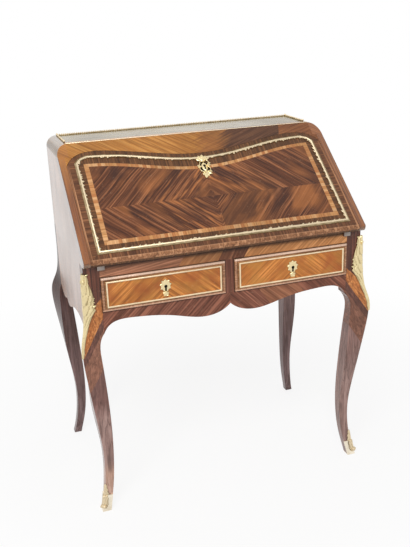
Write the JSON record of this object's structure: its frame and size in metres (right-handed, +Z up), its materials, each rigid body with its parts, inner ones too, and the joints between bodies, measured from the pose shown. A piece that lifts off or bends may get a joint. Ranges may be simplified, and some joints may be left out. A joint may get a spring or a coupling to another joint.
{
  "type": "slant-front desk",
  "caption": "Slant-front writing desk on cabriole legs, with a fall that opens on to lopers, frieze drawers and gilt mounts.",
  "frame": {"origin": "on the floor under the middle of the desk's bounding box", "axes": "+Z up, -Y towards the writer, +X to the writer's right as they face the desk"},
  "size_m": [0.7956, 0.4966, 0.935],
  "materials": {
    "dark_veneer": "polished dark veneer",
    "fall_veneer": "polished matched veneer",
    "light_veneer": "polished orange veneer",
    "lip_veneer": "polished pink veneer",
    "lining_wood": "waxed plain wood",
    "gilt_bronze": "cast and gilt",
    "plain_brass": "worn brass",
    "steel": "filed steel",
    "leather": "worn leather"
  },
  "bodies": {
    "carcase": {"back_left_leg": "dark_veneer", "back_panel": "lining_wood", "back_right_leg": "dark_veneer", "drawer_divider": "lining_wood", "drawer_floor": "lining_wood", "drawer_muntin": "dark_veneer", "drawer_rail": "light_veneer", "fascia_rail": "light_veneer", "front_apron": "dark_veneer", "front_left_leg": "dark_veneer", "front_right_leg": "dark_veneer", "gallery": "gilt_bronze", "left_chute": "gilt_bronze", "left_loper_guide": "lining_wood", "left_sabot": "gilt_bronze", "left_shoulder": "dark_veneer", "left_side_panel": "dark_veneer", "nest_partitions": "lining_wood", "nest_shelf": "lining_wood", "pivot_bushes": "plain_brass", "right_chute": "gilt_bronze", "right_loper_guide": "lining_wood", "right_sabot": "gilt_bronze", "right_shoulder": "dark_veneer", "right_side_panel": "dark_veneer", "top_board": "light_veneer", "top_edge_strip": "gilt_bronze", "writing_board": "lining_wood"},
    "fall": {"fall_escutcheon": "gilt_bronze", "fall_leather": "leather", "fall_lock": "steel", "fall_moulding": "gilt_bronze", "fall_panel": "fall_veneer", "fall_pivot_pins": "steel"},
    "left_drawer": {"left_drawer_bottom": "lining_wood", "left_drawer_escutcheon": "gilt_bronze", "left_drawer_front": "light_veneer", "left_drawer_lip": "lip_veneer", "left_drawer_lock": "steel", "left_drawer_string": "gilt_bronze", "left_drawer_walls": "lining_wood"},
    "left_loper": {"left_loper_bar": "lining_wood", "left_loper_plate": "plain_brass"},
    "left_inner_drawer": {"left_inner_drawer_box": "lining_wood", "left_inner_drawer_front": "lining_wood", "left_inner_drawer_knob": "plain_brass"},
    "right_drawer": {"right_drawer_bottom": "lining_wood", "right_drawer_escutcheon": "gilt_bronze", "right_drawer_front": "light_veneer", "right_drawer_lip": "lip_veneer", "right_drawer_lock": "steel", "right_drawer_string": "gilt_bronze", "right_drawer_walls": "lining_wood"},
    "right_loper": {"right_loper_bar": "lining_wood", "right_loper_plate": "plain_brass"},
    "right_inner_drawer": {"right_inner_drawer_box": "lining_wood", "right_inner_drawer_front": "lining_wood", "right_inner_drawer_knob": "plain_brass"}
  },
  "joints": [
    {"name": "fall_hinge", "type": "hinge", "parent": "carcase", "child": "fall", "pos_m": [0, -0.23161, 0.69812], "axis": [1, 0, 0], "range_deg": [0, 141.77]},
    {"name": "left_drawer_slide", "type": "slide", "parent": "carcase", "child": "left_drawer", "axis": [0, -1, 0], "range_m": [0, 0.26]},
    {"name": "right_drawer_slide", "type": "slide", "parent": "carcase", "child": "right_drawer", "axis": [0, -1, 0], "range_m": [0, 0.26]},
    {"name": "left_loper_slide", "type": "slide", "parent": "carcase", "child": "left_loper", "axis": [0, -1, 0], "range_m": [0, 0.22]},
    {"name": "right_loper_slide", "type": "slide", "parent": "carcase", "child": "right_loper", "axis": [0, -1, 0], "range_m": [0, 0.22]},
    {"name": "left_inner_drawer_slide", "type": "slide", "parent": "carcase", "child": "left_inner_drawer", "axis": [0, -1, 0], "range_m": [0, 0.09]},
    {"name": "right_inner_drawer_slide", "type": "slide", "parent": "carcase", "child": "right_inner_drawer", "axis": [0, -1, 0], "range_m": [0, 0.09]}
  ]
}
